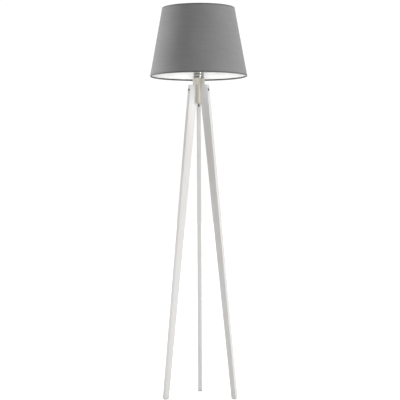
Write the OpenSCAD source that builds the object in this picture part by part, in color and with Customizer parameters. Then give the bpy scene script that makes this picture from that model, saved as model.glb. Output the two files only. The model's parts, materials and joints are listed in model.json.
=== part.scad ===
// Tripod floor lamp: three flat legs on a triangular head block, a threaded-skirt
// lamp holder on a hollow threaded rod, and a conical fabric shade on a wire carrier.
// Millimetres, +Z up. Origin on the floor, on the shade's axis. The rear leg points along +Y.

/* [Tripod] */
// Height of the leg tops above the floor
leg_top_z = 1276; // [1270:1:1280]
// Thickness of each leg, across its run
leg_t = 18; // [16:0.5:20]
// Radius of the leg's outer face at its top
leg_out_top = 44.5; // [42:0.5:48]
// Radius of the leg's outer face at the floor
leg_out_foot = 171; // [160:0.2:176]
// Radius of the leg's inner face at the floor
leg_in_foot = 150.2; // [142:0.2:154]
// Height of the leg bolts
bolt_z = 1255; // [1250:1:1258]
// Height of the locating dowels
dowel_z = 1222; // [1216:1:1230]
// Height of the cable hole in the rear leg
cable_z = 1193.5; // [1188:0.5:1194]
// How far below the horizontal the cable hole points
cable_tilt = 58; // [50:1:60]
// Thickness of the plastic glide under each leg
glide_t = 3; // [2:0.5:4]

/* [Head block] */
// Distance from the axis to each flat side of the block
hub_in = 15.6; // [15.2:0.1:16.4]
// Distance from the axis to each flattened corner
hub_corner = 27.5; // [26:0.5:29]
// Underside of the block
hub_z0 = 1200; // [1198:1:1204]
// Top of the block
hub_z1 = 1304; // [1304:1:1304]

/* [Lamp holder] */
// Diameter of the holder's body
holder_d = 44; // [42:0.5:44]
// Diameter over the outside thread of the skirt
skirt_d = 39.8; // [39.4:0.1:40]
// Diameter of the shade clamping ring
clamp_d = 56; // [52:1:58]

/* [Shade] */
// Diameter of the shade at its lower rim
shade_d0 = 400; // [390:1:410]
// Diameter of the shade at its upper rim
shade_d1 = 298; // [292:1:308]
// Height of the lower rim above the floor
shade_z0 = 1310; // [1308:1:1311]
// Height of the shade
shade_h = 282; // [270:1:300]
// Thickness of the fabric skin, and of the stiff liner behind it
skin = 0.8; // [0.6:0.1:1.2]
// Diameter of the rim wires
wire_d = 4; // [3.6:0.2:4.2]
// Diameter of the carrier arms
arm_d = 3.4; // [3:0.2:4]

/* [Bulb] */
// Diameter of the bulb's globe
globe_d = 60; // [58:1:60]

/* [Hidden] */
$fn = 96;

az_rear = 90;
az_left = 210;
az_right = 330;
leg_az = [az_rear, az_left, az_right];

// The leg's outer and inner face radii at a height
function leg_out(z) = leg_out_foot + (leg_out_top - leg_out_foot) * z / leg_top_z;
function leg_in(z) = z >= hub_z0 ? hub_in : leg_in_foot + (hub_in - leg_in_foot) * z / hub_z0;
foot_r = (leg_out(glide_t) + leg_in(glide_t)) / 2;

bolt_seat = 44;          // radius where each bolt head bears
cable_r = 2.9;           // hole for the mains cord
tube_r = 5;              // M10 x 1 hollow rod

holder_r = holder_d / 2;
skirt_r = skirt_d / 2;
hz = hub_z1;             // the holder stands on the head block
flange_z = hz + 27;      // shoulder that the shade's carrier sits on
carrier_z = flange_z + 3.1;
carrier_t = 2.5;
clamp_z = carrier_z + carrier_t + 0.1;
tip_z = hz + 37.05;      // lowest point of the bulb's contact
socket_z = hz + 29;      // floor of the screw shell
holder_top = hz + 62;

shade_z1 = shade_z0 + shade_h;
shade_slope = (shade_d0 - shade_d1) / 2 / shade_h;
function shade_r(z) = shade_d0 / 2 - (z - shade_z0) * shade_slope;
bead = wire_d / 2 + skin;       // radius of the rolled fabric over each rim wire
low_z = shade_z0 + bead;
top_z = shade_z1 - bead;
low_r = shade_r(low_z) - bead;
top_r = shade_r(top_z) - bead;
joint_gap = 0.02;               // glue line between skins

// Places a copy at a plan azimuth, with +X pointing outwards
module at(az) rotate([0, 0, az]) children();

// A round bar along +X from radius r0 to r1 at height z
module bar(r0, r1, z, r) translate([r0, 0, z]) rotate([0, 90, 0]) cylinder(r = r, h = r1 - r0);

// ---- Legs ----
module leg_blank() {
  rotate([90, 0, 0]) linear_extrude(leg_t, center = true)
    polygon([[leg_out(glide_t), glide_t], [leg_out_top, leg_top_z], [hub_in, leg_top_z],
      [hub_in, hub_z0], [leg_in(glide_t), glide_t]]);
}

module leg_cuts() {
  bar(hub_in - 1, leg_out_foot, bolt_z, 3.3);
  bar(bolt_seat, leg_out_foot, bolt_z, 6);
  bar(hub_in - 1, hub_in + 10.5, dowel_z, 3);
  translate([foot_r, 0, glide_t - 1]) cylinder(r = 1, h = 13.5);
}

module leg() {
  difference() {
    leg_blank();
    leg_cuts();
  }
}

module leg_left() color("whitesmoke") at(az_left) leg();
module leg_right() color("whitesmoke") at(az_right) leg();
// Steep hole that takes the cord from under the head block to the back of the leg
module cable_bore() translate([leg_in(cable_z), 0, cable_z])
  rotate([0, 90 + cable_tilt, 0]) translate([0, 0, -20]) cylinder(r = cable_r, h = 130);

module leg_rear() color("whitesmoke") at(az_rear) difference() {
  leg_blank();
  leg_cuts();
  cable_bore();
}

// ---- Feet ----
module foot_glides() color("gainsboro") for (a = leg_az) at(a) translate([foot_r, 0, 0])
  difference() {
    rotate_extrude() polygon([[0, 0], [7.2, 0], [8, 0.8], [8, glide_t], [0, glide_t]]);
    translate([0, 0, 1]) cylinder(r = 1, h = glide_t);
    translate([0, 0, -1]) cylinder(r = 2.5, h = 2);
  }
module glide_nails() color("silver") for (a = leg_az) at(a) translate([foot_r, 0, 0]) {
  translate([0, 0, 0.3]) cylinder(r = 2.4, h = 0.7);
  translate([0, 0, 0.9]) cylinder(r = 0.98, h = glide_t + 10);
}

// ---- Head block ----
module head_block() color("whitesmoke") difference() {
  intersection() {
    translate([0, 0, hub_z0]) linear_extrude(hub_z1 - hub_z0)
      polygon([for (a = leg_az) for (s = [-1, 1])
        let (h = (hub_corner - 2 * hub_in) / tan(30), w = (hub_in * 2 - hub_corner) * tan(30),
             t = s * sqrt(hub_corner * hub_corner + w * w - hub_in * hub_in))
        [hub_in * cos(a) - t * sin(a), hub_in * sin(a) + t * cos(a)]]);
  }
  translate([0, 0, hub_z0 - 1]) cylinder(r = tube_r + 0.3, h = 200);
  translate([0, 0, hub_z0 - 1]) cylinder(r = 10, h = 8.5);
  for (a = leg_az) at(a) {
    bar(6.6, 30, bolt_z, 4);
    bar(7.4, 30, dowel_z, 3);
  }
}

// ---- Leg fixings ----
module leg_bolts() color("dimgray") for (a = leg_az) at(a) difference() {
  union() {
    translate([bolt_seat, 0, bolt_z]) rotate([0, 90, 0])
      rotate_extrude() polygon([[0, 0], [5.25, 0], [5.25, 0.6], [4.6, 1.9], [3.2, 3.3], [0, 3.3]]);
    bar(9, bolt_seat + 0.5, bolt_z, 3);
  }
  translate([bolt_seat + 1.2, 0, bolt_z]) rotate([0, 90, 0]) cylinder(r = 2.3, h = 3, $fn = 6);
}
module threaded_inserts() color("goldenrod") for (a = leg_az) at(a) difference() {
  bar(6.8, hub_in - 0.2, bolt_z, 3.98);
  bar(5, hub_in + 1, bolt_z, 3.02);
}
module leg_dowels() color("burlywood") for (a = leg_az) at(a) bar(7.6, hub_in + 10.3, dowel_z, 2.98);

// ---- Hollow rod through the block ----
module threaded_tube() color("silver") translate([0, 0, hub_z0 + 1]) difference() {
  cylinder(r = tube_r, h = hz + 8 - hub_z0 - 1);
  translate([0, 0, -1]) cylinder(r = 3.9, h = 200);
}
module tube_nut() color("silver") translate([0, 0, hub_z0 + 2]) difference() {
  cylinder(r = 8.1, h = 3.9, $fn = 6);
  translate([0, 0, -1]) cylinder(r = tube_r + 0.02, h = 8);
}
module tube_washer() color("silver") translate([0, 0, hub_z0 + 6]) difference() {
  cylinder(r = 9.5, h = 1.5);
  translate([0, 0, -1]) cylinder(r = tube_r + 0.2, h = 4);
}

// ---- Lamp holder ----
// Cup with a grooved waist; the rod screws into its neck
module holder_cap() color("silver") translate([0, 0, hz]) rotate_extrude()
  polygon([[tube_r + 0.02, 0], [holder_r - 0.5, 0], [holder_r, 0.5], [holder_r, 2.6],
    [holder_r - 2.4, 3.1], [holder_r - 2.4, 5], [holder_r, 5.5], [holder_r, 14], [holder_r - 0.6, 15],
    [17.5, 15], [17.5, 9], [15, 9], [15, 3], [8, 3], [8, 7], [tube_r + 0.02, 7]]);

// Skirt with a neck groove, a shoulder for the shade and an outside thread
module holder_skirt() color("silver") translate([0, 0, hz]) rotate_extrude()
  polygon([[16, 9.02], [17.45, 9.02], [17.45, 15.02], [holder_r - 2.2, 15.02], [holder_r - 2.2, 16.6],
    [holder_r, 17.2], [holder_r, 26], [25, 27], [25, 30], [skirt_r, 30], [skirt_r, 61],
    [skirt_r - 1, 62], [14.6, 62], [14, 61.4], [14, 59], [14.25, 59], [14.25, 29], [16, 29]]);

// Ceramic block that carries both contacts
module terminal_block() color("white") translate([0, 0, hz]) difference() {
  translate([0, 0, 9.02]) cylinder(r = 15.9, h = 19.9);
  for (s = [-1, 1]) translate([11 * s, 0, 8]) cylinder(r = 1.55, h = 12);
  translate([-1.5, 9, 8]) cube([3, 4, 15]);
}
module terminal_screws() color("goldenrod") for (s = [-1, 1]) translate([11 * s, 0, hz]) {
  translate([0, 0, 7]) cylinder(r = 2.75, h = 2);
  translate([0, 0, 8.9]) cylinder(r = 1.5, h = 10);
}

// Sprung tongue that meets the bulb's centre contact
module centre_contact() color("goldenrod") translate([0, 2.5, hz]) rotate([90, 0, 0])
  linear_extrude(5) polygon([[-10, 29], [-3.5, 29], [-3, 29.2], [1.2, 36.4], [4, 36.4], [4, 37],
    [0.8, 37], [-3.7, 29.6], [-10, 29.6]]);

// Screw shell with a floor ring
module screw_shell() color("goldenrod") translate([0, 0, socket_z]) difference() {
  union() {
    translate([0, 0, 0.1]) cylinder(r = 14.2, h = 29.6);
  }
  translate([0, 0, -1]) cylinder(r = 11.5, h = 3);
  translate([0, 0, 0.8]) cylinder(r = 13.5, h = 40);
}

// Ring nut that clamps the carrier on the shoulder
module clamp_ring() color("whitesmoke") translate([0, 0, clamp_z]) difference() {
  union() {
    cylinder(r = clamp_d / 2, h = 2);
    translate([0, 0, 2]) cylinder(r = 24, h = 5);
  }
  translate([0, 0, -1]) cylinder(r = skirt_r + 0.05, h = 20);
  for (i = [0:15]) rotate([0, 0, i * 22.5]) translate([clamp_d / 2 + 0.6, 0, -1]) cylinder(r = 2, h = 4, $fn = 48);
}

// ---- Shade ----
module carrier_ring() color("white") translate([0, 0, carrier_z]) difference() {
  cylinder(r = 33, h = carrier_t);
  translate([0, 0, -1]) cylinder(r = skirt_r + 0.1, h = 6);
}

// Three straight wires from the rim wire up to the ring
arm_in = 32;
arm_out = low_r - wire_d / 2 + 0.3;
arm_dz = carrier_z + carrier_t / 2 - low_z;
arm_len = sqrt((arm_out - arm_in) * (arm_out - arm_in) + arm_dz * arm_dz);
arm_tilt = atan2(arm_dz, arm_out - arm_in);
module arms(r, extra) for (a = leg_az) at(a) translate([arm_in, 0, carrier_z + carrier_t / 2])
  rotate([0, 90 + arm_tilt, 0]) cylinder(r = r, h = arm_len + extra, $fn = 48);
module carrier_arms() color("white") arms(arm_d / 2, 0);

module lower_rim_wire() color("white") rotate_extrude() translate([low_r, low_z]) circle(r = wire_d / 2, $fn = 32);
module upper_rim_wire() color("white") rotate_extrude() translate([top_r, top_z]) circle(r = wire_d / 2, $fn = 32);

// A conical skin between two heights, from an inset d0 to an inset d1 behind the outer face
module cone_skin(za, zb, d0, d1) rotate_extrude($fn = 160)
  polygon([[shade_r(za) - d1, za], [shade_r(za) - d0, za], [shade_r(zb) - d0, zb], [shade_r(zb) - d1, zb]]);

skin_z0 = low_z + bead + 0.1;
skin_z1 = top_z - bead - 0.1;
module shade_fabric() color("gray") cone_skin(skin_z0, skin_z1, 0.3, 0.3 + skin);
module shade_liner() color("white") cone_skin(skin_z0, skin_z1, 0.3 + skin + joint_gap, 0.3 + 2 * skin);

// Fabric rolled over a rim wire
module hem(r, z) rotate_extrude($fn = 160) difference() {
  translate([r, z]) circle(r = bead, $fn = 48);
  translate([r, z]) circle(r = wire_d / 2 + 0.02, $fn = 48);
}
module lower_hem() color("gray") difference() {
  hem(low_r, low_z);
  arms(arm_d / 2 + 0.3, 0);
}
module upper_hem() color("gray") hem(top_r, top_z);

// ---- Bulb ----
// The solder pip stands on a stem in the black insulator
module bulb_contact() color("silver") translate([0, 0, tip_z]) {
  rotate_extrude() polygon([[0, 0], [2.6, 0], [4.2, 0.8], [4.6, 1.6], [0, 1.6]]);
  translate([0, 0, 1.5]) cylinder(r = 2.95, h = 3);
}
module bulb_insulator() color("black") translate([0, 0, tip_z]) rotate_extrude()
  polygon([[3, 1.75], [6, 1.75], [11.4, 5], [11.4, 6], [3, 6]]);
module bulb_cap() color("silver") translate([0, 0, hz]) rotate_extrude()
  polygon([[11.5, 42.2], [13.44, 43.8], [13.44, 62.4], [13, 62.4], [13, 44.4], [11.5, 43.1]]);
module bulb_housing() color("white") translate([0, 0, hz]) rotate_extrude()
  polygon([[11.4, 48], [12.95, 48], [12.95, 62.5], [14.2, 62.5], [15.2, 70], [18.5, 82], [24, 95],
    [28.4, 104], [26.4, 104], [22, 95.5], [16.7, 82.5], [13.5, 71], [11.4, 62]]);
module driver_board() color("darkgreen") translate([-8, -0.8, hz + 49]) cube([16, 1.6, 38]);
module led_board() color("white") translate([0, 0, hz + 101.6]) difference() {
  cylinder(r = 24.6, h = 1.6);
  translate([0, 0, -1]) cylinder(r = 2.5, h = 4);
}
module led_chips() color("khaki") for (i = [0:11]) rotate([0, 0, i * 30])
  translate([17, -1.75, hz + 103.2]) cube([3.5, 3.5, 0.8]);
module bulb_globe() color("white") translate([0, 0, hz + 115.5]) difference() {
  sphere(r = globe_d / 2);
  sphere(r = globe_d / 2 - 1.2);
  translate([-50, -50, -61.5]) cube([100, 100, 50]);
}

leg_left();
leg_right();
leg_rear();
head_block();
foot_glides();
glide_nails();
leg_bolts();
threaded_inserts();
leg_dowels();
threaded_tube();
tube_nut();
tube_washer();
holder_cap();
terminal_block();
terminal_screws();
centre_contact();
screw_shell();
holder_skirt();
clamp_ring();
carrier_ring();
carrier_arms();
lower_rim_wire();
upper_rim_wire();
shade_fabric();
shade_liner();
lower_hem();
upper_hem();
bulb_contact();
bulb_insulator();
bulb_cap();
bulb_housing();
driver_board();
led_board();
led_chips();
bulb_globe();
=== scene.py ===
import json
import math

import bmesh
import bpy
from mathutils import Matrix, Vector

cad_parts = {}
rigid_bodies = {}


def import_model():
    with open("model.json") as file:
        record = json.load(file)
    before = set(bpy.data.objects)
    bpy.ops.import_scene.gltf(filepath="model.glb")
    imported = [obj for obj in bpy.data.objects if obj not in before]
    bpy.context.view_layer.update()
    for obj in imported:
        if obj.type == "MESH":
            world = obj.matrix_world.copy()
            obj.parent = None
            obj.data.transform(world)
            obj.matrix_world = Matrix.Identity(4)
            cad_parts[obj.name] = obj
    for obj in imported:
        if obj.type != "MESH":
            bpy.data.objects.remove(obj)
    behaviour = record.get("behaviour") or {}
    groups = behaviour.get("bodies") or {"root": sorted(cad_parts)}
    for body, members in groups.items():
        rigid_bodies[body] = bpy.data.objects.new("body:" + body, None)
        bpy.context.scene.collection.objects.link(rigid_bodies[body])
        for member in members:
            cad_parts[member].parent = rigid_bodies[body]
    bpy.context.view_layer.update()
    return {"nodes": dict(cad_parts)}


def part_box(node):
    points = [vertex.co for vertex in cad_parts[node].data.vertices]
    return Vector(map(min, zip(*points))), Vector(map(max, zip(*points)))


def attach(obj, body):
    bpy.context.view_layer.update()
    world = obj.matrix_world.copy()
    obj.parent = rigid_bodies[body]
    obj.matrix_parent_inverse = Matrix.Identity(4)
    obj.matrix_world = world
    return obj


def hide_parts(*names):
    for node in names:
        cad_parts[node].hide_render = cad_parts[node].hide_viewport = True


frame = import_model()
nodes = frame["nodes"]
TAU = 2 * math.pi
LEG_AZ = {"leg_rear": 90.0, "leg_left": 210.0, "leg_right": 330.0}


def mm(v):
    return v / 1000.0


# ---------------------------------------------------------------- camera
scene = bpy.context.scene
cam_data = bpy.data.cameras.new("camera")
cam = bpy.data.objects.new("camera", cam_data)
scene.collection.objects.link(cam)
scene.camera = cam
cam_data.sensor_width = 36.0
CAM = {"az": 0.0, "dist": 5.6, "height": 0.80, "f_px": 1366.8, "roll": 0.27, "aim_x": 0.0, "pitch": 0.0}
cam_data.shift_x, cam_data.shift_y = 0.0019, 0.0030
cam_data.lens = CAM["f_px"] * 36.0 / 400.0
cam_data.clip_start, cam_data.clip_end = 0.1, 60.0
a = math.radians(CAM["az"])
cam.location = (CAM["dist"] * math.sin(a), -CAM["dist"] * math.cos(a), CAM["height"])
look = Matrix.Rotation(a + math.radians(CAM["aim_x"]), 4, "Z") @ Matrix.Rotation(math.radians(90 + CAM["pitch"]), 4, "X") @ Matrix.Rotation(math.radians(-CAM["roll"]), 4, "Z")
cam.rotation_euler = look.to_euler()


# ---------------------------------------------------------------- node helpers
class Tree:
    """Short names for building one material's nodes."""

    def __init__(self, name):
        self.mat = bpy.data.materials.new(name)
        self.mat.use_nodes = True
        self.t = self.mat.node_tree
        self.t.nodes.clear()
        self.out = self.t.nodes.new("ShaderNodeOutputMaterial")
        self.bsdf = self.t.nodes.new("ShaderNodeBsdfPrincipled")
        self.t.links.new(self.bsdf.outputs[0], self.out.inputs[0])
        self.coord = self.t.nodes.new("ShaderNodeTexCoord").outputs["Object"]

    def add(self, kind, **props):
        n = self.t.nodes.new(kind)
        for k, v in props.items():
            setattr(n, k, v)
        return n

    def put(self, socket, value):
        if hasattr(value, "is_linked") or hasattr(value, "links"):
            self.t.links.new(value, socket)
        else:
            socket.default_value = value

    def math(self, op, x, y=0.0, z=0.0):
        n = self.add("ShaderNodeMath", operation=op)
        for s, v in zip(n.inputs, (x, y, z)):
            self.put(s, v)
        return n.outputs[0]

    def xyz(self, vector=None):
        n = self.add("ShaderNodeSeparateXYZ")
        self.put(n.inputs[0], vector or self.coord)
        return n.outputs

    def scaled(self, s, vector=None):
        n = self.add("ShaderNodeMapping")
        self.put(n.inputs["Vector"], vector or self.coord)
        n.inputs["Scale"].default_value = s
        return n.outputs[0]

    def noise(self, scale, vector=None, detail=3.0, rough=0.5, distortion=0.0):
        n = self.add("ShaderNodeTexNoise")
        self.put(n.inputs["Vector"], vector or self.coord)
        n.inputs["Scale"].default_value = scale
        n.inputs["Detail"].default_value = detail
        n.inputs["Roughness"].default_value = rough
        n.inputs["Distortion"].default_value = distortion
        return n.outputs[0]

    def span(self, value, lo, hi, a0=0.0, a1=1.0):
        n = self.add("ShaderNodeMapRange")
        self.put(n.inputs["Value"], value)
        n.inputs["From Min"].default_value = a0
        n.inputs["From Max"].default_value = a1
        n.inputs["To Min"].default_value = lo
        n.inputs["To Max"].default_value = hi
        return n.outputs[0]

    def mix(self, fac, c1, c2, blend="MIX"):
        n = self.add("ShaderNodeMix", data_type="RGBA", blend_type=blend)
        self.put(n.inputs[0], fac)
        for s, c in ((n.inputs[6], c1), (n.inputs[7], c2)):
            self.put(s, c if hasattr(c, "links") else (*c, 1.0))
        return n.outputs[2]

    def bump(self, height, strength, distance, normal=None):
        n = self.add("ShaderNodeBump")
        n.inputs["Strength"].default_value = strength
        n.inputs["Distance"].default_value = distance
        self.put(n.inputs["Height"], height)
        if normal is not None:
            self.put(n.inputs["Normal"], normal)
        return n.outputs[0]

    def set(self, **sockets):
        for k, v in sockets.items():
            self.put(self.bsdf.inputs[k.replace("_", " ")], v)
        return self


def plain(name, dark, light, rough, metallic=0.0, scale=60.0, stretch=(1, 1, 1), bump=0.15, depth=0.0002, grain=0.0, **more):
    """A material with broad tone variation, fine surface texture and uneven gloss."""
    t = Tree(name)
    broad = t.noise(scale * 0.12, detail=2.0)
    fine = t.noise(scale * 12, t.scaled(stretch), detail=4.0, rough=0.6)
    tone = t.math("ADD", t.math("MULTIPLY", broad, 0.6), t.math("MULTIPLY", fine, 0.4))
    t.set(Base_Color=t.mix(t.span(tone, 0, 1, 0.32, 0.68), dark, light))
    t.set(Roughness=t.span(fine, rough[0], rough[1], 0.3, 0.7), Metallic=metallic)
    t.set(Normal=t.bump(fine, bump, depth))
    for k, v in more.items():
        t.set(**{k: v})
    return t.mat


# ---------------------------------------------------------------- materials
def lacquer(name, axis_angle):
    """White lacquer over close-grained wood. The grain runs up the piece and shows only as faint relief."""
    t = Tree(name)
    rot = t.add("ShaderNodeVectorRotate", rotation_type="Z_AXIS")
    t.put(rot.inputs["Vector"], t.coord)
    rot.inputs["Angle"].default_value = -math.radians(axis_angle)
    v = rot.outputs[0]
    grain = t.noise(60.0, t.scaled((9.0, 9.0, 0.22), v), detail=5.0, rough=0.62, distortion=0.35)
    pores = t.noise(260.0, t.scaled((6.0, 6.0, 0.10), v), detail=2.0, rough=0.5)
    broad = t.noise(2.2, v, detail=3.0)
    peel = t.noise(240.0, v, detail=2.0)
    tone = t.math("ADD", t.math("MULTIPLY", grain, 0.5), t.math("MULTIPLY", broad, 0.5))
    col = t.mix(t.span(tone, 0, 1, 0.30, 0.70), (0.755, 0.740, 0.722), (0.815, 0.808, 0.800))
    col = t.mix(t.span(pores, 0.0, 0.22, 0.62, 0.78), col, (0.60, 0.575, 0.54))
    t.set(Base_Color=col, Roughness=t.span(grain, 0.34, 0.50, 0.3, 0.7))
    t.set(Coat_Weight=0.25, Coat_Roughness=0.28)
    h = t.math("ADD", t.math("MULTIPLY", grain, 0.7), t.math("MULTIPLY", pores, -0.5))
    n1 = t.bump(h, 0.35, 0.00022)
    t.set(Normal=t.bump(peel, 0.06, 0.0001, n1))
    return t.mat


def cone_uv(t):
    """Arc length round the shade and height, in metres, from object coordinates."""
    x, y, z = t.xyz()
    theta = t.math("ARCTAN2", y, x)
    return t.math("MULTIPLY", theta, 0.1763), z


def weave(t, u, v, pitch):
    """Height of a plain weave: 1 on top of a thread, 0 between threads; and which thread is on top."""
    k = math.pi / pitch
    su, sv = t.math("SINE", t.math("MULTIPLY", u, k)), t.math("SINE", t.math("MULTIPLY", v, k))
    cu, cv = t.math("ABSOLUTE", su), t.math("ABSOLUTE", sv)
    qu = t.math("COSINE", t.math("MULTIPLY", u, k))
    qv = t.math("COSINE", t.math("MULTIPLY", v, k))
    over = t.math("MULTIPLY", qu, qv)
    warp = t.math("MULTIPLY", cu, t.math("MULTIPLY_ADD", over, 0.35, 0.65))
    weft = t.math("MULTIPLY", cv, t.math("MULTIPLY_ADD", over, -0.35, 0.65))
    return t.math("MAXIMUM", warp, weft), over


def fabric(name, dark, light, pitch=0.00052):
    t = Tree(name)
    u, v = cone_uv(t)
    height, over = weave(t, u, v, pitch)
    comb = t.add("ShaderNodeCombineXYZ")
    t.put(comb.inputs[0], u)
    t.put(comb.inputs[1], v)
    flat = comb.outputs[0]
    weft = t.noise(1.0, t.scaled((14.0, 1500.0, 1.0), flat), detail=3.0, rough=0.6)
    streak = t.noise(1.0, t.scaled((5.0, 190.0, 1.0), flat), detail=3.0, rough=0.55)
    warp = t.noise(1.0, t.scaled((1500.0, 12.0, 1.0), flat), detail=3.0, rough=0.6)
    slub = t.noise(1.0, t.scaled((55.0, 900.0, 1.0), flat), detail=2.0, rough=0.7)
    cloud = t.noise(9.0, detail=3.0)
    lint = t.noise(3200.0, detail=2.0)
    tone = t.math("ADD", t.math("MULTIPLY", weft, 0.46), t.math("ADD", t.math("MULTIPLY", warp, 0.30), t.math("MULTIPLY", cloud, 0.24)))
    col = t.mix(t.span(tone, 0, 1, 0.36, 0.64), dark, light)
    # Painted shade: the cloth is darkened between the threads of the weave, where they dip.
    col = t.mix(t.span(height, 0.30, 0.0, 0.25, 0.95), col, tuple(0.55 * c for c in dark))
    col = t.mix(t.span(slub, 0.0, 0.35, 0.62, 0.80), col, tuple(1.25 * c for c in light))
    col = t.mix(t.span(lint, 0.0, 0.10, 0.60, 0.80), col, tuple(1.4 * c for c in light))
    col = t.mix(t.span(streak, 0.0, 0.10, 0.48, 0.72), col, tuple(1.3 * c for c in light))
    col = t.mix(t.span(streak, 0.10, 0.0, 0.28, 0.50), col, tuple(0.75 * c for c in dark))
    # Painted shade: the cloth is darkened in bands along both rolled edges, where it wraps the rim wires.
    z = t.xyz()[2]
    edge = t.math("MAXIMUM", t.span(z, 1.0, 0.0, 1.3148, 1.3166), t.span(z, 0.0, 1.0, 1.5860, 1.5878))
    col = t.mix(t.math("MULTIPLY", edge, 0.85), col, tuple(0.52 * c for c in dark))
    t.set(Base_Color=col, Roughness=t.span(height, 0.92, 0.78))
    t.set(Specular_IOR_Level=0.25, Sheen_Weight=0.18, Sheen_Roughness=0.6)
    t.bsdf.inputs["Sheen Tint"].default_value = (1.0, 1.0, 1.0, 1.0)
    h = t.math("ADD", height, t.math("MULTIPLY", slub, 0.5))
    t.set(Normal=t.bump(h, 0.30, 0.00012))
    return t.mat


def film(name):
    """The white inner lining: a smooth film that shows a faint trace of the cloth behind it."""
    t = Tree(name)
    u, v = cone_uv(t)
    height, _ = weave(t, u, v, 0.00052)
    cloud = t.noise(14.0, detail=3.0)
    col = t.mix(t.span(cloud, 0, 1, 0.35, 0.65), (0.885, 0.885, 0.875), (0.93, 0.93, 0.925))
    t.set(Base_Color=col, Roughness=t.span(cloud, 0.42, 0.58, 0.3, 0.7))
    t.set(Normal=t.bump(height, 0.06, 0.00005))
    return t.mat


def brushed(name, dark, light, rough=(0.24, 0.36), scale=1.0, shaded_grooves=()):
    """Turned metal: fine rings round the axis and faint smears; painted shade darkens the bands in shaded_grooves to
    near-black.
    """
    t = Tree(name)
    x, y, z = t.xyz()
    r = t.math("SQRT", t.math("ADD", t.math("MULTIPLY", x, x), t.math("MULTIPLY", y, y)))
    comb = t.add("ShaderNodeCombineXYZ")
    t.put(comb.inputs[0], t.math("MULTIPLY", t.math("ARCTAN2", y, x), 0.6))
    t.put(comb.inputs[1], t.math("MULTIPLY", z, 9000.0 * scale))
    t.put(comb.inputs[2], t.math("MULTIPLY", r, 9000.0 * scale))
    rings = t.noise(1.0, comb.outputs[0], detail=3.0, rough=0.6)
    smear = t.noise(70.0, detail=3.0)
    tone = t.math("ADD", t.math("MULTIPLY", rings, 0.55), t.math("MULTIPLY", smear, 0.45))
    col = t.mix(t.span(tone, 0, 1, 0.35, 0.65), dark, light)
    # Painted shade: each groove band is darkened towards near-black.
    for lo, hi, deep in shaded_grooves:
        band = t.math("MULTIPLY", t.span(z, 0, 1, lo - 0.0003, lo), t.span(z, 1, 0, hi, hi + 0.0003))
        col = t.mix(t.math("MULTIPLY", band, t.span(r, 0.93, 0.0, deep, deep + 0.0006)), col, (0.03, 0.028, 0.024))
    t.set(Base_Color=col, Metallic=1.0)
    t.set(Roughness=t.span(tone, rough[0], rough[1], 0.35, 0.65))
    t.bsdf.inputs["Anisotropic"].default_value = 0.35
    t.set(Normal=t.bump(rings, 0.12, 0.00005))
    return t.mat


M = {
    "fabric": fabric("shade_cloth", (0.143, 0.143, 0.144), (0.196, 0.196, 0.197)),
    "film": film("liner_film"),
    "holder": brushed("satin_nickel", (0.40, 0.39, 0.37), (0.60, 0.59, 0.57), shaded_grooves=((1.3066, 1.3093, 0.0212), (1.3188, 1.3212, 0.0212))),
    "nickel": brushed("bulb_nickel", (0.62, 0.60, 0.55), (0.80, 0.78, 0.74), (0.18, 0.30)),
    "brass": brushed("contact_brass", (0.62, 0.45, 0.19), (0.80, 0.62, 0.30), (0.22, 0.36)),
    "zinc": plain("zinc_steel", (0.42, 0.42, 0.40), (0.62, 0.62, 0.60), (0.28, 0.45), 1.0, 120, bump=0.2),
    "bolt": plain("black_bolt_steel", (0.012, 0.012, 0.014), (0.030, 0.030, 0.034), (0.30, 0.46), 0.35, 300, bump=0.25, depth=0.00008),
    "wire": plain("white_powder_coat", (0.79, 0.79, 0.78), (0.88, 0.88, 0.87), (0.34, 0.5), 0.0, 220, bump=0.25, depth=0.00012),
    "white_plastic": plain("white_moulded_plastic", (0.80, 0.80, 0.79), (0.87, 0.87, 0.86), (0.26, 0.40), 0.0, 160, bump=0.12, depth=0.00006, Coat_Weight=0.1),
    "glide": plain("glide_plastic", (0.62, 0.62, 0.60), (0.76, 0.76, 0.74), (0.42, 0.62), 0.0, 160, bump=0.2),
    "porcelain": plain("porcelain", (0.76, 0.74, 0.69), (0.86, 0.85, 0.81), (0.16, 0.30), 0.0, 120, bump=0.1, Coat_Weight=0.4),
    # Painted shade: a near-black colour for the walls of the rear leg's cable bore, far darker than bare wood.
    "bored": plain("bore_painted_shade", (0.045, 0.030, 0.018), (0.10, 0.068, 0.042), (0.7, 0.9), 0.0, 200, (1, 1, 8), bump=0.5),
    "dowel": plain("beech_dowel", (0.44, 0.29, 0.16), (0.66, 0.49, 0.31), (0.55, 0.75), 0.0, 60, (1, 1, 14), bump=0.4),
    "insulator": plain("insulator_glass", (0.008, 0.008, 0.012), (0.020, 0.020, 0.028), (0.06, 0.16), 0.0, 200, bump=0.05),
    "bulb_plastic": plain("bulb_housing_plastic", (0.80, 0.80, 0.79), (0.88, 0.88, 0.87), (0.28, 0.42), 0.0, 160, bump=0.1, depth=0.00006),
    "green": plain("circuit_board", (0.010, 0.075, 0.030), (0.020, 0.13, 0.05), (0.35, 0.5), 0.0, 300, bump=0.3),
    "white_board": plain("white_board", (0.74, 0.74, 0.73), (0.84, 0.84, 0.83), (0.35, 0.5), 0.0, 300, bump=0.2),
    "chip": plain("chip_phosphor", (0.75, 0.52, 0.08), (0.88, 0.68, 0.16), (0.3, 0.4), 0.0, 400, bump=0.2),
}
for leg, az in LEG_AZ.items():
    M[leg] = lacquer(leg + "_lacquer", az)


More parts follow.
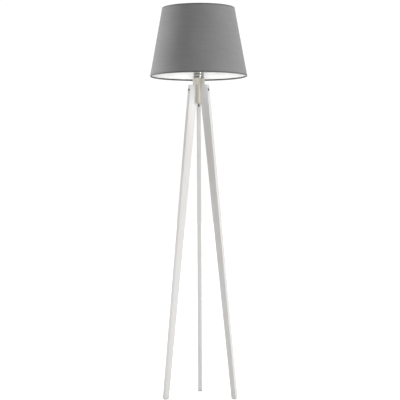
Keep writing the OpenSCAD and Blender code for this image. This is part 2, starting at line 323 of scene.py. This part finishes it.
def limed(name):
    """Pale limed wood under satin varnish: fine upright grain with whitened pores."""
    t = Tree(name)
    grain = t.noise(70.0, t.scaled((7.0, 7.0, 0.35)), detail=6.0, rough=0.65, distortion=0.5)
    ray = t.noise(300.0, t.scaled((4.0, 4.0, 0.12)), detail=2.0)
    broad = t.noise(14.0, detail=3.0)
    col = t.mix(t.span(grain, 0, 1, 0.30, 0.70), HEAD_DARK, HEAD_LIGHT)
    col = t.mix(t.span(broad, 0.0, 0.30, 0.35, 0.70), col, tuple(0.86 * c for c in HEAD_DARK))
    col = t.mix(t.span(ray, 0.0, 0.40, 0.58, 0.78), col, (0.86, 0.84, 0.78))
    t.set(Base_Color=col, Roughness=t.span(grain, 0.36, 0.55, 0.3, 0.7), Coat_Weight=0.2, Coat_Roughness=0.3)
    h = t.math("ADD", grain, t.math("MULTIPLY", ray, -0.4))
    t.set(Normal=t.bump(h, 0.4, 0.0002))
    return t.mat


HEAD_DARK, HEAD_LIGHT = (0.60, 0.57, 0.49), (0.76, 0.73, 0.64)
M["head"] = limed("head_limed_wood")


def opal(name):
    t = Tree(name)
    mottle = t.noise(90.0, detail=3.0)
    t.set(Base_Color=t.mix(t.span(mottle, 0, 1, 0.35, 0.65), (0.86, 0.86, 0.845), (0.93, 0.93, 0.92)))
    t.set(Roughness=t.span(mottle, 0.30, 0.42, 0.3, 0.7), Normal=t.bump(t.noise(900.0), 0.08, 0.00005))
    t.bsdf.inputs["Subsurface Weight"].default_value = 0.2
    t.bsdf.inputs["Subsurface Radius"].default_value = (0.01, 0.01, 0.01)
    return t.mat


M["opal"] = opal("opal_diffuser")


# ---------------------------------------------------------------- mesh helpers
def finish_mesh(name, bm, mat, body, replaces=(), sharp=32.0):
    bmesh.ops.remove_doubles(bm, verts=bm.verts, dist=1e-7)
    bmesh.ops.dissolve_degenerate(bm, edges=bm.edges, dist=1e-8)
    bmesh.ops.recalc_face_normals(bm, faces=bm.faces)
    for f in bm.faces:
        f.smooth = True
    for e in bm.edges:
        if len(e.link_faces) == 2 and e.calc_face_angle(0.0) > math.radians(sharp):
            e.smooth = False
    me = bpy.data.meshes.new(name)
    bm.to_mesh(me)
    bm.free()
    me.materials.append(mat)
    o = bpy.data.objects.new(name, me)
    scene.collection.objects.link(o)
    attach(o, body)
    if replaces:
        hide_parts(*replaces)
    return o


def lathe(bm, prof, n=128, closed=True, shape=None, start=0.0, turn=TAU):
    """Turns a profile of (r, z) in millimetres round Z. shape(r, z, theta) may move a point. A part turn is closed by its end faces."""
    full = abs(turn - TAU) < 1e-9
    steps = n if full else n + 1
    rings = []
    for i in range(steps):
        th = start + turn * i / n
        ring = []
        for r, z in prof:
            rr, zz = shape(r, z, th) if shape else (r, z)
            ring.append(bm.verts.new((mm(rr) * math.cos(th), mm(rr) * math.sin(th), mm(zz))))
        rings.append(ring)
    m = len(prof)
    for i in range(n):
        a, b = rings[i], rings[(i + 1) % steps]
        for j in range(m if closed else m - 1):
            k = (j + 1) % m
            bm.faces.new((a[j], b[j], b[k], a[k]))
    if closed and not full:
        bm.faces.new(rings[0])
        bm.faces.new(list(reversed(rings[-1])))
    return rings


def smooth_profile(points, steps=6):
    """A Catmull-Rom curve through the points, for lathe profiles."""
    out = []
    pts = [points[0]] + list(points) + [points[-1]]
    for i in range(1, len(pts) - 2):
        p0, p1, p2, p3 = pts[i - 1], pts[i], pts[i + 1], pts[i + 2]
        for s in range(steps):
            t = s / steps
            out.append(tuple(0.5 * (2 * p1[k] + (p2[k] - p0[k]) * t + (2 * p0[k] - 5 * p1[k] + 4 * p2[k] - p3[k]) * t * t
                                    + (3 * p1[k] - p0[k] - 3 * p2[k] + p3[k]) * t ** 3) for k in range(2)))
    out.append(tuple(points[-1]))
    return out


def rounded(points, radius, steps=4, closed=True):
    """Rounds the corners of a profile. radius is one number, or one per corner."""
    out, n = [], len(points)
    for i, p in enumerate(points):
        r = radius[i] if isinstance(radius, (list, tuple)) else radius
        if (not closed and i in (0, n - 1)) or r <= 0:
            out.append(p)
            continue
        a, b = Vector(points[i - 1]), Vector(points[(i + 1) % n])
        p = Vector(p)
        da, db = (a - p), (b - p)
        t = min(r, da.length * 0.45, db.length * 0.45)
        s, e = p + da.normalized() * t, p + db.normalized() * t
        for k in range(steps + 1):
            u = k / steps
            q = s * (1 - u) ** 2 + p * 2 * u * (1 - u) + e * u * u
            out.append((q.x, q.y))
    return out


def tube(bm, path, radius, sides=16, cap=True):
    """A round bar along a path of points in metres. radius is one number or one per point, in metres."""
    rings = []
    pts = [Vector(p) for p in path]
    up = Vector((0, 0, 1))
    for i, p in enumerate(pts):
        d = (pts[min(i + 1, len(pts) - 1)] - pts[max(i - 1, 0)]).normalized()
        side = d.cross(up)
        if side.length < 1e-4:
            side = Vector((1, 0, 0))
        side.normalize()
        other = side.cross(d).normalized()
        r = radius[i] if isinstance(radius, (list, tuple)) else radius
        rings.append([bm.verts.new(p + (side * math.cos(TAU * k / sides) + other * math.sin(TAU * k / sides)) * r) for k in range(sides)])
    for a, b in zip(rings, rings[1:]):
        for k in range(sides):
            m = (k + 1) % sides
            bm.faces.new((a[k], a[m], b[m], b[k]))
    if cap:
        bm.faces.new(rings[0])
        bm.faces.new(list(reversed(rings[-1])))


def cut(obj, cutters):
    """Cuts closed meshes out of obj for good."""
    for c in cutters:
        mod = obj.modifiers.new("cut", "BOOLEAN")
        mod.operation = "DIFFERENCE"
        mod.solver = "EXACT"
        mod.object = c
    bpy.context.view_layer.update()
    dg = bpy.context.evaluated_depsgraph_get()
    me = bpy.data.meshes.new_from_object(obj.evaluated_get(dg))
    obj.modifiers.clear()
    obj.data = me
    for c in cutters:
        bpy.data.objects.remove(c)


def cutter(az, r0, r1, z, radius, n=64, z0=None, z1=None):
    """A cylinder along a leg's outward direction, level at z or running from z0 to z1, in millimetres, as a temporary object."""
    bm = bmesh.new()
    a = math.radians(az)
    d = Vector((math.cos(a), math.sin(a), 0))
    tube(bm, [d * mm(r0) + Vector((0, 0, mm(z if z0 is None else z0))), d * mm(r1) + Vector((0, 0, mm(z if z1 is None else z1)))], mm(radius), n)
    bmesh.ops.recalc_face_normals(bm, faces=bm.faces)
    me = bpy.data.meshes.new("cutter")
    bm.to_mesh(me)
    bm.free()
    o = bpy.data.objects.new("cutter", me)
    scene.collection.objects.link(o)
    return o


def sharpen(obj, angle=30.0):
    """Smooth faces, with sharp edges where the surface turns by more than angle."""
    bm = bmesh.new()
    bm.from_mesh(obj.data)
    for f in bm.faces:
        f.smooth = True
    for e in bm.edges:
        e.smooth = not (len(e.link_faces) == 2 and e.calc_face_angle(0.0) > math.radians(angle))
    bm.to_mesh(obj.data)
    bm.free()


# ---------------------------------------------------------------- legs and head block
def leg_piece(name, az):
    """A planed bar with eased edges, bored for its bolt, and for the cable on the rear leg."""
    lo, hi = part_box(name)
    out = lambda z: 171.0 + (44.5 - 171.0) * z / 1276.0
    inn = lambda z: 15.6 if z >= 1200 else 150.2 + (15.6 - 150.2) * z / 1200.0
    a = math.radians(az)
    d, s = Vector((math.cos(a), math.sin(a), 0)), Vector((-math.sin(a), math.cos(a), 0))
    heights = [3.0] + [60.0 + 76.0 * i for i in range(15)] + [1200.0, 1238.0, 1276.0]
    bm = bmesh.new()
    rings = []
    for z in heights:
        ring = []
        for r, t in ((inn(z), -9.0), (out(z), -9.0), (out(z), 9.0), (inn(z), 9.0)):
            ring.append(bm.verts.new(d * mm(r) + s * mm(t) + Vector((0, 0, mm(z)))))
        rings.append(ring)
    for p, q in zip(rings, rings[1:]):
        for k in range(4):
            m = (k + 1) % 4
            bm.faces.new((p[k], p[m], q[m], q[k]))
    bm.faces.new(list(reversed(rings[0])))
    bm.faces.new(rings[-1])
    bmesh.ops.recalc_face_normals(bm, faces=bm.faces)
    edges = [e for e in bm.edges if e.calc_face_angle(0.0) > math.radians(40)]
    bmesh.ops.bevel(bm, geom=edges, offset=mm(1.3), segments=4, profile=0.5, affect="EDGES", clamp_overlap=True)
    o = finish_mesh(name + "_bar", bm, M[name], "stand", [name], 60)
    cutters = [cutter(az, 44.0, 80.0, 1255.0, 6.0), cutter(az, 10.0, 60.0, 1255.0, 3.3)]
    if name == "leg_rear":
        tilt = math.radians(58)
        cutters.append(cutter(az, inn(1193.5) - 20 * math.cos(tilt), inn(1193.5) + 110 * math.cos(tilt), 1193.5, 2.9, z1=1193.5 - 110 * math.sin(tilt), z0=1193.5 + 20 * math.sin(tilt)))
    cut(o, cutters)
    sharpen(o)
    if name == "leg_rear":
        # The cable bore's walls take the painted shade.
        o.data.materials.append(M["bored"])
        axis = (d * math.cos(tilt) - Vector((0, 0, 1)) * math.sin(tilt)).normalized()
        start = d * mm(inn(1193.5)) + Vector((0, 0, mm(1193.5)))
        for f in o.data.polygons:
            off = Vector(f.center) - start
            if (off - axis * off.dot(axis)).length < mm(2.95) and -0.01 < off.dot(axis) < 0.095 and abs(f.normal.dot(axis)) < 0.2:
                f.material_index = 1
    return o


for leg, az in LEG_AZ.items():
    leg_piece(leg, az)


def head_piece():
    inr, cor = 15.6, 27.5
    w = (2 * inr - cor) * math.tan(math.radians(30))
    t = math.sqrt(cor * cor + w * w - inr * inr)
    corners = []
    for az in (90, 210, 330):
        for sgn in (-1, 1):
            a = math.radians(az)
            corners.append((inr * math.cos(a) - sgn * t * math.sin(a), inr * math.sin(a) + sgn * t * math.cos(a)))
    corners.sort(key=lambda c: math.atan2(c[1], c[0]))
    bm = bmesh.new()
    rings = [[bm.verts.new((mm(x), mm(y), mm(z))) for x, y in corners] for z in (1200.0, 1222.0, 1255.0, 1276.0, 1304.0)]
    for p, q in zip(rings, rings[1:]):
        for k in range(6):
            m = (k + 1) % 6
            bm.faces.new((p[k], p[m], q[m], q[k]))
    bm.faces.new(list(reversed(rings[0])))
    bm.faces.new(rings[-1])
    bmesh.ops.recalc_face_normals(bm, faces=bm.faces)
    edges = [e for e in bm.edges if e.calc_face_angle(0.0) > math.radians(40)]
    bmesh.ops.bevel(bm, geom=edges, offset=mm(0.9), segments=4, profile=0.5, affect="EDGES", clamp_overlap=True)
    o = finish_mesh("head_block_shaped", bm, M["head"], "stand", ["head_block"], 60)
    cs = []
    for z0, z1, r in ((1190.0, 1207.5, 10.0), (1190.0, 1320.0, 5.3)):
        b = bmesh.new()
        tube(b, [(0, 0, mm(z0)), (0, 0, mm(z1))], mm(r), 96)
        bmesh.ops.recalc_face_normals(b, faces=b.faces)
        me = bpy.data.meshes.new("cutter")
        b.to_mesh(me)
        b.free()
        c = bpy.data.objects.new("cutter", me)
        scene.collection.objects.link(c)
        cs.append(c)
    cut(o, cs)
    sharpen(o)


head_piece()

# ---------------------------------------------------------------- shade
Z0, Z1 = 1310.0, 1592.0
SLOPE = (200.0 - 149.0) / 282.0
shade_r = lambda z: 200.0 - (z - Z0) * SLOPE
BEAD = 2.8
LOW_Z, TOP_Z = Z0 + BEAD, Z1 - BEAD
LOW_R, TOP_R = shade_r(LOW_Z) - BEAD, shade_r(TOP_Z) - BEAD
TILT = math.atan(SLOPE)
CLOTH = 0.55
SEAM_AT = math.radians(97.0)


def skin_profile():
    """Centre line of the cloth: from its edge inside the lower rim, round the wire, up the outside, round the top wire and in."""
    mid = BEAD - CLOTH / 2
    pts = []
    for k in range(0, 23):
        ang = math.radians(112 + k * (248 - TILT * 57.3) / 22.0)
        pts.append((LOW_R + mid * math.cos(ang), LOW_Z + mid * math.sin(ang)))
    n = 46
    for k in range(1, n):
        z = LOW_Z + 2 + (TOP_Z - LOW_Z - 4) * k / n
        pts.append((shade_r(z) - 0.32 - 0.30 * min(1.0, min(z - LOW_Z, TOP_Z - z) / 9.0), z))
    for k in range(0, 23):
        ang = math.radians(0 + k * 240.0 / 22.0)
        pts.append((TOP_R + mid * math.cos(ang), TOP_Z + mid * math.sin(ang)))
    return pts


def thicken(line, t):
    """A closed profile of thickness t about a line of (r, z) points."""
    left, right = [], []
    for i, p in enumerate(line):
        a, b = line[max(i - 1, 0)], line[min(i + 1, len(line) - 1)]
        dx, dz = b[0] - a[0], b[1] - a[1]
        d = math.hypot(dx, dz) or 1.0
        nx, nz = dz / d, -dx / d
        left.append((p[0] + nx * t / 2, p[1] + nz * t / 2, nx, nz))
        right.append((p[0] - nx * t / 2, p[1] - nz * t / 2, nx, nz))
    return left + right[::-1]


def cloth_piece():
    prof = thicken(skin_profile(), CLOTH)
    bm = bmesh.new()
    over = 0.070          # the cloth's end laps over its start by about 13 mm
    n = 300
    turn = TAU + over
    rings = []
    for i in range(n + 1):
        th = SEAM_AT + turn * i / n
        back = (turn * (1 - i / n)) / over          # 0 at the lapping edge
        lift = CLOTH * 1.08 * (1.0 if back < 1.0 else max(0.0, 1 - (back - 1.0) / 0.9) ** 2 * (3 - 2 * max(0.0, 1 - (back - 1.0) / 0.9)))
        wob = 0.10 * math.sin(3 * th + 0.7) + 0.06 * math.sin(11 * th + 1.9) + 0.03 * math.sin(23 * th)
        ring = []
        for r, z, nx, nz in prof:
            mid_part = max(0.0, min(1.0, (z - 1318) / 20.0)) * max(0.0, min(1.0, (1584 - z) / 20.0))
            d = lift + (wob - 0.12) * mid_part * 0.8
            ring.append(bm.verts.new((mm(r + nx * d) * math.cos(th), mm(r + nx * d) * math.sin(th), mm(z + nz * d))))
        rings.append(ring)
    m = len(prof)
    for a, b in zip(rings, rings[1:]):
        for j in range(m):
            k = (j + 1) % m
            bm.faces.new((a[j], b[j], b[k], a[k]))
    bm.faces.new(rings[0])
    bm.faces.new(list(reversed(rings[-1])))
    o = finish_mesh("shade_cloth", bm, M["fabric"], "shade", ["shade_fabric", "lower_hem", "upper_hem"], 50)
    return o


cloth_piece()


def liner_piece():
    line = [(shade_r(z) - 1.55, z) for z in [1316.4 + (1585.4 - 1316.4) * k / 40 for k in range(41)]]
    prof = thicken(line, 0.42)
    bm = bmesh.new()
    over, n = 0.055, 240
    turn = TAU + over
    rings = []
    for i in range(n + 1):
        th = SEAM_AT + 0.02 + turn * i / n
        back = (turn * (1 - i / n)) / over
        f = 1.0 if back < 1.0 else max(0.0, 1 - (back - 1.0) / 0.9)
        lift = -0.46 * f * f * (3 - 2 * f)
        rings.append([bm.verts.new((mm(r + nx * lift) * math.cos(th), mm(r + nx * lift) * math.sin(th), mm(z + nz * lift))) for r, z, nx, nz in prof])
    m = len(prof)
    for a, b in zip(rings, rings[1:]):
        for j in range(m):
            k = (j + 1) % m
            bm.faces.new((a[j], b[j], b[k], a[k]))
    bm.faces.new(rings[0])
    bm.faces.new(list(reversed(rings[-1])))
    return finish_mesh("shade_liner_film", bm, M["film"], "shade", ["shade_liner"], 50)


liner_piece()


def arms_piece():
    """Three white wires, each flattened and welded to the ring, and welded to the lower rim wire with a bead."""
    bm = bmesh.new()
    zc, r_out = 1335.35, LOW_R - 1.95
    for az in (90, 210, 330):
        a = math.radians(az)
        d = Vector((math.cos(a), math.sin(a), 0))
        path, radii = [], []
        for k in range(41):
            f = k / 40
            r = 32.2 + (r_out - 32.2) * f
            z = zc + (LOW_Z - zc) * f
            path.append(d * mm(r) + Vector((0, 0, mm(z))))
            radii.append(mm(1.7))
        tube(bm, path, radii, 20)
        for r, z, s in ((33.2, zc - 0.1, 2.15), (r_out + 0.2, LOW_Z, 2.25)):
            made = bmesh.ops.create_icosphere(bm, subdivisions=3, radius=mm(s))
            for v in made["verts"]:
                q = v.co.copy()
                bump = 1 + 0.06 * math.sin(q.x * 5200 + az) * math.sin(q.y * 4300 + 1) + 0.05 * math.sin(q.z * 6100)
                v.co = d * (mm(r) + q.x * 1.25 * bump) + Vector((-d.y, d.x, 0)) * q.y * bump + Vector((0, 0, mm(z) + q.z * 0.78 * bump))
    return finish_mesh("carrier_arm_wires", bm, M["wire"], "shade", ["carrier_arms"], 70)


arms_piece()


# ---------------------------------------------------------------- lamp holder
def screw_shape(r_crest, depth, pitch, z_lo, z_hi, fade=1.6):
    """Moves points of radius r_crest into a helical thread groove between z_lo and z_hi."""
    def shape(r, z, th):
        if abs(r - r_crest) < 0.02 and z_lo <= z <= z_hi:
            f = min(1.0, (z - z_lo) / fade, (z_hi - z) / fade)
            p = (z / pitch - th / TAU) % 1.0
            wave = 0.5 - 0.5 * math.cos(TAU * p)
            return r - depth * max(0.0, f) * wave ** 0.8, z
        return r, z
    return shape


def dense(p, q, step):
    n = max(1, int(math.dist(p, q) / step))
    return [(p[0] + (q[0] - p[0]) * i / n, p[1] + (q[1] - p[1]) * i / n) for i in range(n)]


def skirt_piece():
    """The holder's skirt, with its outside thread cut as a helix."""
    hz = 1304.0
    lower = rounded([(17.45, hz + 9.02), (17.45, hz + 15.02), (19.8, hz + 15.02), (19.8, hz + 16.6), (22, hz + 17.2), (22, hz + 26), (25, hz + 27), (25, hz + 30), (19.9, hz + 30)],
                    [0.2, 0, 0.2, 0.25, 0.5, 0.9, 0.6, 0.6, 0.3], 4, closed=False)
    thread = dense((19.9, hz + 30.4), (19.9, hz + 61), 0.28)
    top = rounded([(19.9, hz + 61), (18.9, hz + 62), (14.6, hz + 62), (14.0, hz + 61.4), (14.0, hz + 59), (14.25, hz + 59), (14.25, hz + 29), (16, hz + 29), (16, hz + 9.02)],
                  [0.3, 0.4, 0.3, 0.2, 0, 0, 0, 0, 0], 3, closed=False)
    bm = bmesh.new()
    lathe(bm, lower + thread + top, 144, shape=screw_shape(19.9, 0.95, 3.0, hz + 31.0, hz + 60.6))
    return finish_mesh("holder_skirt_threaded", bm, M["holder"], "stand", ["holder_skirt"], 38)


skirt_piece()


def cap_piece():
    hz = 1304.0
    prof = rounded([(5.02, hz), (21.5, hz), (22, hz + 0.5), (22, hz + 2.6), (19.6, hz + 3.1), (19.6, hz + 5), (22, hz + 5.5), (22, hz + 14), (21.4, hz + 15),
                    (17.5, hz + 15), (17.5, hz + 9), (15, hz + 9), (15, hz + 3), (8, hz + 3), (8, hz + 7), (5.02, hz + 7)],
                   [0, 0.3, 0.3, 0.5, 0.3, 0.3, 0.5, 0.7, 0.4, 0.2, 0, 0, 0.5, 0.5, 0.3, 0.2], 4)
    bm = bmesh.new()
    lathe(bm, prof, 144)
    return finish_mesh("holder_cap_turned", bm, M["holder"], "stand", ["holder_cap"], 38)


cap_piece()


def rod_piece():
    prof = [(3.9, 1201.4), (4.3, 1201.0), (4.6, 1201.0)] + dense((5.0, 1201.5), (5.0, 1311.5), 0.26) + [(4.6, 1312.0), (4.3, 1312.0), (3.9, 1311.6)]
    bm = bmesh.new()
    lathe(bm, prof, 72, shape=screw_shape(5.0, 0.5, 1.0, 1201.6, 1311.4, 0.5))
    return finish_mesh("hollow_rod_threaded", bm, M["zinc"], "stand", ["threaded_tube"], 38)


rod_piece()


# ---------------------------------------------------------------- bulb
def bulb_cap_piece():
    """The bulb's cap, with its round thread."""
    hz = 1304.0
    prof = [(11.5, hz + 42.2), (12.6, hz + 42.9), (13.2, hz + 43.4)] + dense((13.44, hz + 43.9), (13.44, hz + 62.3), 0.3) + [(13.35, hz + 62.4), (13.05, hz + 62.4), (13.0, hz + 62.2)]
    inner = [(r - 0.42 if abs(r - 13.44) < 0.01 else r, z) for r, z in prof]
    bm = bmesh.new()
    outer = screw_shape(13.44, 0.75, 3.63, hz + 44.0, hz + 60.4, 2.0)
    lathe(bm, prof + [(12.3, hz + 61.9), (12.3, hz + 44.6), (11.5, hz + 43.1)], 128, shape=outer)
    return finish_mesh("bulb_cap_threaded", bm, M["nickel"], "bulb", ["bulb_cap"], 50)


bulb_cap_piece()


def bulb_housing_piece():
    hz = 1304.0
    outer = [(12.95, hz + 62.5), (14.0, hz + 62.6)] + smooth_profile([(14.2, hz + 63.0), (15.1, hz + 70), (18.4, hz + 82), (23.8, hz + 94.6), (27.8, hz + 102.6)], 8) + [(28.3, hz + 103.6), (28.2, hz + 104.0)]
    inner = [(26.5, hz + 104.0), (22, hz + 95.5), (16.7, hz + 82.5), (13.5, hz + 71), (12.3, hz + 62.5), (12.3, hz + 62.1)]
    bm = bmesh.new()
    lathe(bm, outer + inner, 128)
    return finish_mesh("bulb_housing_shell", bm, M["bulb_plastic"], "bulb", ["bulb_housing"], 50)


bulb_housing_piece()


def globe_piece():
    hz = 1304.0
    zc, r = hz + 115.5, 30.0
    start = math.asin(-11.5 / r)
    prof = [(r * math.cos(start + (math.pi / 2 - start) * k / 40), zc + r * math.sin(start + (math.pi / 2 - start) * k / 40)) for k in range(41)]
    inner = [((r - 1.2) * math.cos(start + (math.pi / 2 - start) * k / 40), max(hz + 104.0, zc + (r - 1.2) * math.sin(start + (math.pi / 2 - start) * k / 40))) for k in range(40, -1, -1)]
    prof[-1], inner[0] = (0.0, zc + r), (0.0, zc + r - 1.2)
    bm = bmesh.new()
    lathe(bm, prof + inner, 128)
    return finish_mesh("bulb_globe_opal", bm, M["opal"], "bulb", ["bulb_globe"], 50)


globe_piece()


# ---------------------------------------------------------------- carried-over CAD nodes
def smooth_group():
    """Smooth faces with sharp edges over 32 degrees, as geometry nodes, which leave the mesh itself alone."""
    g = bpy.data.node_groups.new("smooth_by_angle", "GeometryNodeTree")
    g.interface.new_socket("Geometry", in_out="INPUT", socket_type="NodeSocketGeometry")
    g.interface.new_socket("Geometry", in_out="OUTPUT", socket_type="NodeSocketGeometry")
    i, o = g.nodes.new("NodeGroupInput"), g.nodes.new("NodeGroupOutput")
    merge = g.nodes.new("GeometryNodeMergeByDistance")
    merge.inputs["Distance"].default_value = 1e-6
    angle = g.nodes.new("GeometryNodeInputMeshEdgeAngle")
    less = g.nodes.new("FunctionNodeCompare")
    less.operation = "LESS_THAN"
    less.inputs[1].default_value = math.radians(32)
    face = g.nodes.new("GeometryNodeSetShadeSmooth")
    face.domain = "FACE"
    edge = g.nodes.new("GeometryNodeSetShadeSmooth")
    edge.domain = "EDGE"
    g.links.new(i.outputs[0], merge.inputs[0])
    g.links.new(merge.outputs[0], face.inputs[0])
    g.links.new(face.outputs[0], edge.inputs[0])
    g.links.new(angle.outputs[0], less.inputs[0])
    g.links.new(less.outputs[0], edge.inputs["Shade Smooth"])
    g.links.new(edge.outputs[0], o.inputs[0])
    return g


smooth = smooth_group()
DRESS = {
    "foot_glides": ("glide", 0.25), "glide_nails": ("zinc", 0.12), "leg_bolts": ("bolt", 0.15), "threaded_inserts": ("brass", 0.1),
    "leg_dowels": ("dowel", 0.2), "tube_nut": ("zinc", 0.3), "tube_washer": ("zinc", 0.15),
    "terminal_block": ("porcelain", 0.4), "terminal_screws": ("brass", 0.2), "centre_contact": ("brass", 0.08), "screw_shell": ("brass", 0.1),
    "clamp_ring": ("white_plastic", 0.35), "carrier_ring": ("wire", 0.3), "lower_rim_wire": ("wire", 0), "upper_rim_wire": ("wire", 0),
    "bulb_contact": ("zinc", 0.15), "bulb_insulator": ("insulator", 0.15), "driver_board": ("green", 0.05), "led_board": ("white_board", 0.1),
    "led_chips": ("chip", 0.06),
}
for name, (key, width) in DRESS.items():
    o = nodes[name]
    o.data.materials.clear()
    o.data.materials.append(M[key])
    gn = o.modifiers.new("smooth", "NODES")
    gn.node_group = smooth
    if width:
        b = o.modifiers.new("eased", "BEVEL")
        b.width = mm(width)
        b.segments = 2
        b.limit_method = "ANGLE"
        b.angle_limit = math.radians(40)
        b.harden_normals = True

# ---------------------------------------------------------------- floor and light
floor_me = bpy.data.meshes.new("floor")
fb = bmesh.new()
fb.faces.new([fb.verts.new(p) for p in ((-30, -30, 0), (30, -30, 0), (30, 45, 0), (-30, 45, 0))])
fb.to_mesh(floor_me)
fb.free()
ft = Tree("studio_floor")
seen = ft.add("ShaderNodeLightPath").outputs["Is Camera Ray"]
ft.set(Base_Color=ft.mix(seen, (0.76, 0.76, 0.76), (0.90, 0.90, 0.90)), Roughness=0.9, Specular_IOR_Level=0.05)
ft.set(Emission_Color=(1.0, 1.0, 1.0, 1.0), Emission_Strength=ft.math("MULTIPLY", seen, 0.35))
floor_me.materials.append(ft.mat)
floor = bpy.data.objects.new("floor", floor_me)
scene.collection.objects.link(floor)

world = bpy.data.worlds.new("studio")
scene.world = world
world.use_nodes = True
wt = world.node_tree
bg = wt.nodes["Background"]
bg.inputs[0].default_value = (1.0, 1.0, 1.0, 1.0)
ray = wt.nodes.new("ShaderNodeLightPath")
rng = wt.nodes.new("ShaderNodeMapRange")
rng.inputs["To Min"].default_value = 0.13
rng.inputs["To Max"].default_value = 1.04
wt.links.new(ray.outputs["Is Camera Ray"], rng.inputs["Value"])
wt.links.new(rng.outputs[0], bg.inputs[1])


def softbox(name, where, target, size, power, color=(1, 1, 1)):
    d = bpy.data.lights.new(name, "AREA")
    d.shape = "RECTANGLE"
    d.size, d.size_y = size
    d.energy = power
    d.color = color
    o = bpy.data.objects.new(name, d)
    o.location = where
    o.rotation_euler = (Vector(target) - Vector(where)).to_track_quat("-Z", "Y").to_euler()
    scene.collection.objects.link(o)
    return o


softbox("key_right", (3.75, -1.75, 2.6), (0, 0, 0.85), (1.8, 1.8), 104, (1.0, 0.998, 0.99))
softbox("fill_left", (-4.3, 1.2, 1.0), (0, 0, 0.85), (1.6, 2.0), 36, (0.99, 0.993, 1.0))
sky = bpy.data.lights.new("overhead", "SUN")
sky.energy = 3.1
sky.angle = math.radians(50)
sky_o = bpy.data.objects.new("overhead", sky)
sky_o.location = (0, 0, 5)
scene.collection.objects.link(sky_o)


def only_for(light, names):
    """Lets a light fall on the named pieces alone."""
    c = bpy.data.collections.new(light.name + "_lights")
    for n in names:
        c.objects.link(bpy.data.objects[n])
    light.light_linking.receiver_collection = c


inner = softbox("inside_wash", (0, -3.0, 1.05), (0, 0.2, 1.33), (0.9, 0.25), 46)
only_for(inner, ["shade_liner_film"])
low = softbox("low_front", (0.0, -0.9, 0.70), (0, -0.15, 1.42), (0.6, 0.3), 2.3)
only_for(low, ["shade_cloth"])
rim_l = softbox("shade_left", (-3.6, 1.1, 1.35), (0, 0, 1.45), (1.2, 1.6), 150)
only_for(rim_l, ["shade_cloth"])
rim_r = softbox("shade_right", (3.8, 0.3, 1.35), (0, 0, 1.45), (1.2, 1.6), 62)
only_for(rim_r, ["shade_cloth"])

glint = softbox("holder_glint", (1.5, -2.3, 1.15), (0, 0, 1.33), (0.7, 0.7), 24)
only_for(glint, ["holder_skirt_threaded", "holder_cap_turned"])

skip = {"shade_liner_film"}
only_for(sky_o, [o.name for o in scene.objects if o.type == "MESH" and o.name not in skip])

scene.view_settings.view_transform = "Standard"
scene.view_settings.look = "None"
scene.view_settings.exposure = 0.0
scene.view_settings.gamma = 1.0
